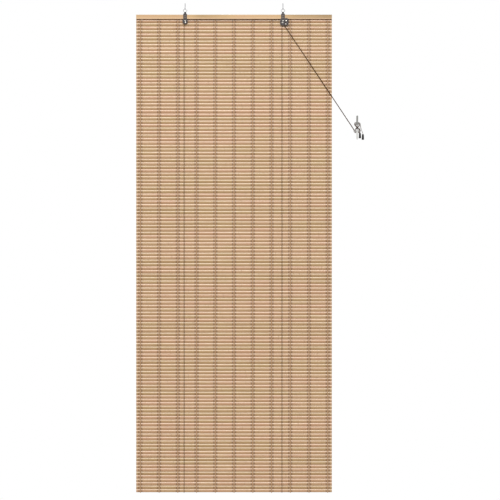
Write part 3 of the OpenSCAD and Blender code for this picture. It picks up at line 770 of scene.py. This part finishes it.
def warp_twine():
    tree = stitch_tree()
    ends = link("twine_ends", twine_ends_mesh())
    for node, x in zip(WARP_NODES, WARP_PLACES):
        piece = grown(link(node + "_twine", stitch_mesh()), tree, {
            "Place": x, "Ends": ends, "Finish": TWINE})
        seat(piece, "twine", node)
    bpy.data.objects.remove(ends)


warp_twine()

# Cords: the lift cords run over the sheaves, the pull cords run free from the guide pin to the cleat

SHEAVE_WRAP = 4.7 * MM
GUIDE_WRAP = 2.7 * MM
SLAT_CLEAR = 0.2 * MM
CORD_SIDES = 10
UNDER_STEPS = 6
QUARTER_STEPS = 6
GUIDE_STEPS = 4
WOUND_STEPS = 3
KNOT_STEPS = 48
KNOT_SIZE = 0.75 * MM
KNOT_STANDOFF = 0.8 * MM
CLEAT_X = 566 * MM
CLEAT_Y = 4 * MM + RAIL_MID_Y
CLEAT_Z = RAIL_HIGH.z - 519 * MM
# Points of the pull cords round the cleat, in mm from its middle
LEFT_ROUTE = [
    (-13, -4.5, -10), (-12, -3.4, -15.6), (-7.6, -1.9, -21.2), (0, -1.6, -22), (7, -1.9, -21.2),
    (11.8, -2.4, -17.4), (12.6, -2.6, -12), (10, -2.7, -8.6), (6.8, -2.7, -5.8), (3.4, -2.7, -2.8),
    (0, -2.7, 0), (-3.4, -2.7, 2.8), (-6.8, -2.8, 5.8), (-8.8, -2.9, 9.4), (-9.1, -2.7, 13),
    (-7.4, -1.9, 17.2), (-4.4, -1.6, 19.2), (0, -1.5, 20), (5.6, -1.6, 18.9), (9.8, -2.6, 15.6),
    (10.6, -3.9, 10.6), (9.6, -4.6, 7), (7.2, -4.9, 4.6), (3.8, -4.9, 1.7), (0.8, -4.9, -0.9),
    (-2.3, -4.9, -3.5), (-5.7, -4.8, -6.4), (-7.2, -4.2, -9.2), (-7.1, -2.9, -12.4), (-5.4, -1.2, -16.4),
    (0, -1.15, -17.5), (5.4, -1.2, -16.4), (7.1, -3, -12.6), (7.3, -5, -9), (6.4, -6.8, -6),
    (3.4, -7.1, -2.8), (0, -7.1, 0), (-3.4, -7.1, 2.8), (-7.2, -6.6, 6.4), (-11.4, -5.2, 10.8),
    (-12.8, -3.9, 16), (-10, -2.4, 22.4), (0, -1.9, 24.6), (8.8, -2.4, 23), (14, -4.2, 18.6),
    (15.6, -6, 11), (16.6, -7, 4), (18.6, -7.8, -5), (21.6, -8.6, -15), (24.4, -9.1, -22),
    (26, -9.35, -26.5), (26.3, -9.4, -29.5), (26.3, -9.4, -46)]
RIGHT_ROUTE = [
    (-15, -3.8, -11), (-14.4, -3, -17.6), (-8.6, -1.9, -23.7), (0, -1.6, -24.3), (8, -1.9, -23.6),
    (13.8, -2.4, -19), (15.2, -2.6, -12.2), (13, -2.7, -7.6), (8.9, -2.7, -4.2), (5.2, -2.7, -1),
    (1.7, -2.7, 1.8), (-1.8, -2.7, 4.6), (-5.2, -2.8, 7.6), (-6.6, -2.7, 10.6), (-6.4, -2.3, 13.2),
    (-5.1, -1.25, 15.9), (0, -1.25, 17.5), (5.4, -1.35, 16.4), (7.7, -2.6, 13.2), (7.6, -3.9, 9.4),
    (5.7, -4.8, 6.4), (2.3, -4.9, 3.5), (-0.8, -4.9, 0.9), (-3.8, -4.9, -1.7), (-7.2, -4.8, -4.6),
    (-9.6, -4.4, -8.2), (-9.6, -3.4, -12), (-8.6, -2.2, -16.2), (-6.2, -1.4, -19), (0, -1.3, -19.7),
    (6, -1.4, -18.8), (9.4, -2.6, -15.2), (9.8, -4.6, -10.4), (8.6, -6.6, -5.2), (5.2, -7.1, -1),
    (1.7, -7.1, 1.8), (-1.8, -7.1, 4.6), (-5.6, -6.7, 8), (-9, -5.4, 11.6), (-10.4, -4, 16),
    (-7.6, -2.2, 20.8), (0, -1.7, 22.2), (7, -2.2, 21), (11.6, -4, 17), (13, -6.2, 9.5), (13.2, -7.2, 1),
    (13.6, -7.3, -8), (13.2, -7, -15), (12.7, -6.8, -21.5), (12.7, -6.8, -39)]


def middle(node):
    low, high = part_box(node)
    return (low + high) / 2


def arc(centre, y, radius, start, stop, steps):
    """Points on an arc in the plane of x and z, at depth y, with angles in degrees."""
    angles = [math.radians(start + (stop - start) * i / steps) for i in range(steps + 1)]
    return [Vector((centre.x + radius * math.cos(a), y, centre.z + radius * math.sin(a))) for a in angles]


def on_wall(route):
    return [Vector((CLEAT_X + x * MM, CLEAT_Y + y * MM, CLEAT_Z + z * MM)) for x, y, z in route]


def leave_angle(route, guide):
    """Angle from straight down, in degrees, at which a cord leaves the guide pin."""
    way = on_wall(route)[0] - guide
    flat = math.hypot(way.x, way.z)
    return math.degrees(math.atan2(way.x, -way.z) + math.asin(GUIDE_WRAP / flat))


def mat_run(x):
    """From the staple on the batten's back, down behind the mat, and under its last slat."""
    radius = SLAT_DEPTH / 2 + SLAT_CLEAR + CORD_D / 2
    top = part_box("left_lift_cord")[1].z
    points = [Vector((x, MAT_MID_Y + radius, top))]
    for i in range(UNDER_STEPS + 1):
        a = math.radians(-180 * i / UNDER_STEPS)
        points.append(Vector((x, MAT_MID_Y + radius * math.cos(a), MAT_LOW.z + radius * math.sin(a))))
    return points


def lift_routes():
    left, front, rear = middle("left_sheave"), middle("right_front_sheave"), middle("right_rear_sheave")
    guide = middle("guide_pin")
    left_points = mat_run(left.x - SHEAVE_WRAP) + arc(left, left.y, SHEAVE_WRAP, 180, 90, QUARTER_STEPS)
    left_points += arc(front, front.y, SHEAVE_WRAP, 90, 0, QUARTER_STEPS)
    left_points += arc(guide, front.y, GUIDE_WRAP, 180, 180 + leave_angle(LEFT_ROUTE, guide), GUIDE_STEPS)
    right_points = mat_run(rear.x - SHEAVE_WRAP) + arc(rear, rear.y, SHEAVE_WRAP, 180, 0, 2 * QUARTER_STEPS)
    right_points += arc(guide, rear.y, GUIDE_WRAP, 180, 180 + leave_angle(RIGHT_ROUTE, guide), GUIDE_STEPS)
    return left_points, right_points


def smoothed(points, steps):
    """A smooth curve through points, with steps pieces between neighbours."""
    padded = [2 * points[0] - points[1]] + points + [2 * points[-1] - points[-2]]
    curve = []
    for p0, p1, p2, p3 in zip(padded, padded[1:], padded[2:], padded[3:]):
        for i in range(steps):
            t = i / steps
            curve.append(0.5 * (2 * p1 + (p2 - p0) * t + (2 * p0 - 5 * p1 + 4 * p2 - p3) * t * t
                                + (3 * p1 - p0 - 3 * p2 + p3) * t ** 3))
    return curve + [points[-1]]


def overhand_knot(place, size):
    """A knot's path, lying flat in the plane of x and z."""
    turns = [TURN * i / KNOT_STEPS for i in range(KNOT_STEPS + 1)]
    return [place + size * Vector((math.sin(a) + 2 * math.sin(2 * a), -math.sin(3 * a),
                                   math.cos(a) - 2 * math.cos(2 * a))) for a in turns]


def braid(name, *paths):
    """A braided piece of one or more paths."""
    shape = bmesh.new()
    uv_layer = shape.loops.layers.uv.new("UVMap")
    for points in paths:
        sweep(shape, points, CORD_D / 2, CORD_SIDES, uv_layer)
    return link(name, from_bmesh(name, shape, CORD))


def cords():
    left_points, right_points = lift_routes()
    sets = (("left", left_points, LEFT_ROUTE, "right_tassel"),
            ("right", right_points, RIGHT_ROUTE, "left_tassel"))
    for side, points, route, tassel in sets:
        knot = overhand_knot(points[0] + Vector((0, KNOT_STANDOFF, 0)), KNOT_SIZE)
        lift = braid(side + "_lift_braid", points, knot)
        seat(lift, "cord", side + "_lift_cord")
        path = [points[-1]] + smoothed(on_wall(route), WOUND_STEPS)
        pull = braid(side + "_pull_braid", path)
        seat(pull, "cord", side + "_pull_cord")
        hung_on = [frame["nodes"][tassel]]
        if side == "left":
            hung_on += [frame["nodes"]["cord_cleat"], frame["nodes"]["cleat_screws"]]


cords()

# Screw threads

THREAD_PITCH = 1.5 * MM
THREAD_LENGTH = 12 * MM
THREAD_RIDGE = 0.35 * MM
THREAD_SINK = 0.1 * MM
THREAD_STEPS = 14
RIDGE_SIDES = 4
HOOK_WIRE_R = 1.6 * MM
HOOK_THREAD_FOOT = 1 * MM
HOOK_PLAIN = 3 * MM
CLEAT_SCREW_R = 1.75 * MM
CLEAT_SCREW_GAP = 11 * MM
CLEAT_THREAD_FOOT = 2 * MM
CLEAT_PLAIN = 5 * MM


def thread_tree():
    """Winds a ridge along a spiral."""
    tree, given = new_tree("screw_thread", [
        ("Turns", "Float", THREAD_LENGTH / THREAD_PITCH), ("Radius", "Float", HOOK_WIRE_R),
        ("Height", "Float", THREAD_LENGTH), ("Ridge", "Float", THREAD_RIDGE), ("Finish", "Material", None)])
    spiral = add(tree, "GeometryNodeCurveSpiral", {
        "Resolution": THREAD_STEPS, "Rotations": given["Turns"], "Start Radius": given["Radius"],
        "End Radius": given["Radius"], "Height": given["Height"]}).outputs[0]
    ridge = add(tree, "GeometryNodeCurvePrimitiveCircle", {
        "Resolution": RIDGE_SIDES, "Radius": given["Ridge"]}).outputs[0]
    wound = add(tree, "GeometryNodeCurveToMesh", {
        "Curve": spiral, "Profile Curve": ridge, "Fill Caps": True}).outputs[0]
    close_tree(tree, wound, given["Finish"])
    return tree


def thread(name, tree, length, radius):
    """A thread from the origin up, sunk a little into its shank."""
    return grown(link(name, bpy.data.meshes.new("thread")), tree, {
        "Turns": length / THREAD_PITCH, "Radius": radius - THREAD_SINK, "Height": length, "Finish": STEEL})


def screw_threads():
    tree = thread_tree()
    for side in ("left", "right"):
        low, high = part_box(side + "_ceiling_hook")
        hook = thread(side + "_hook_thread", tree, high.z - HOOK_PLAIN, HOOK_WIRE_R)
        for vert in hook.data.vertices:
            vert.co += Vector(((low.x + high.x) / 2, 0, HOOK_THREAD_FOOT))
        seat(hook, "steel")
    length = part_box("cleat_screws")[1].y - CLEAT_Y - CLEAT_PLAIN
    for name, shift in (("upper", 1), ("lower", -1)):
        screw = thread(name + "_cleat_thread", tree, length, CLEAT_SCREW_R)
        for vert in screw.data.vertices:
            x, y, z = vert.co
            vert.co = (CLEAT_X + x, CLEAT_Y + CLEAT_THREAD_FOOT + z,
                       CLEAT_Z + shift * CLEAT_SCREW_GAP / 2 - y)
        seat(screw, "steel")


screw_threads()

# Camera, at the photograph's straight front view

PHOTO_SIDE = 500
PIXEL = 4.6 * MM
BLIND_MIDDLE_PX = 234.04
RAIL_TOP_PX = 14.85
LENS = 200.0
SENSOR = 36.0
FARTHEST = 100.0


def camera():
    data = bpy.data.cameras.new("camera")
    data.lens = LENS
    data.sensor_width = SENSOR
    data.clip_end = FARTHEST
    eye = link("camera", data)
    x = (PHOTO_SIDE / 2 - BLIND_MIDDLE_PX) * PIXEL
    z = RAIL_HIGH.z + (RAIL_TOP_PX - PHOTO_SIDE / 2) * PIXEL
    eye.location = (x, MAT_LOW.y - PHOTO_SIDE * PIXEL * LENS / SENSOR, z)
    eye.rotation_euler = (math.pi / 2, 0, 0)
    scene.camera = eye


camera()

# Floor, world and lamps

FLOOR_DROP = 0.25
FLOOR_Z = MAT_LOW.z - FLOOR_DROP
FLOOR_R = 3.0
FLOOR_Y = -1.4
FLOOR_SIDES = 96
SOFT_COLOUR = (1.0, 0.985, 0.965, 1.0)
SOFT_LIGHT = 0.33
WHITE = (1.0, 1.0, 1.0, 1.0)
LAMP_COLOUR = (1.0, 0.95, 0.88)
LAMP_TARGET = Vector((0, 0, -1.1))


def floor():
    shape = bmesh.new()
    bmesh.ops.create_circle(shape, cap_ends=True, segments=FLOOR_SIDES, radius=FLOOR_R)
    for vert in shape.verts:
        vert.co += Vector((0, FLOOR_Y, FLOOR_Z))
    material, tree, shader, place = new_material("pale_floor")
    speckle = noise(tree, place, 30.0, 3.0)
    tone = mix_colour(tree, speckle, rgb(213, 213, 211), rgb(220, 220, 218))
    feed(tree, shader, Base_Color=tone, Roughness=0.8)
    link("floor", from_bmesh("floor", shape, material))


def world():
    """Soft light from all round, and plain white where the camera or a reflection sees past the object."""
    space = bpy.data.worlds.new("studio")
    scene.world = space
    space.use_nodes = True
    tree = space.node_tree
    tree.nodes.clear()
    path = add(tree, "ShaderNodeLightPath").outputs
    seen = maths(tree, "MAXIMUM", path["Is Camera Ray"],
                 maths(tree, "MAXIMUM", path["Is Glossy Ray"], path["Is Transmission Ray"]))
    soft = add(tree, "ShaderNodeBackground", {"Color": SOFT_COLOUR, "Strength": SOFT_LIGHT})
    white = add(tree, "ShaderNodeBackground", {"Color": WHITE, "Strength": 1.0})
    both = add(tree, "ShaderNodeMixShader", {0: seen, 1: soft.outputs[0], 2: white.outputs[0]})
    add(tree, "ShaderNodeOutputWorld", {"Surface": both.outputs[0]})


def lamp(name, place, size, watts):
    data = bpy.data.lights.new(name, "AREA")
    data.shape = "RECTANGLE"
    data.size, data.size_y = size
    data.energy = watts
    data.color = LAMP_COLOUR
    lamp_object = link(name, data)
    lamp_object.location = place
    lamp_object.rotation_euler = (LAMP_TARGET - Vector(place)).to_track_quat("-Z", "Y").to_euler()


floor()
world()
lamp("strip_lamp", place=(0, -11.0, 5.3), size=(5.0, 1.0), watts=1060.0)
lamp("back_lamp", place=(1.5, 8.0, 3.5), size=(4.0, 3.0), watts=420.0)
lamp("key_lamp", place=(-4.2, -5.5, 4.5), size=(1.0, 1.0), watts=200.0)

bpy.context.view_layer.update()
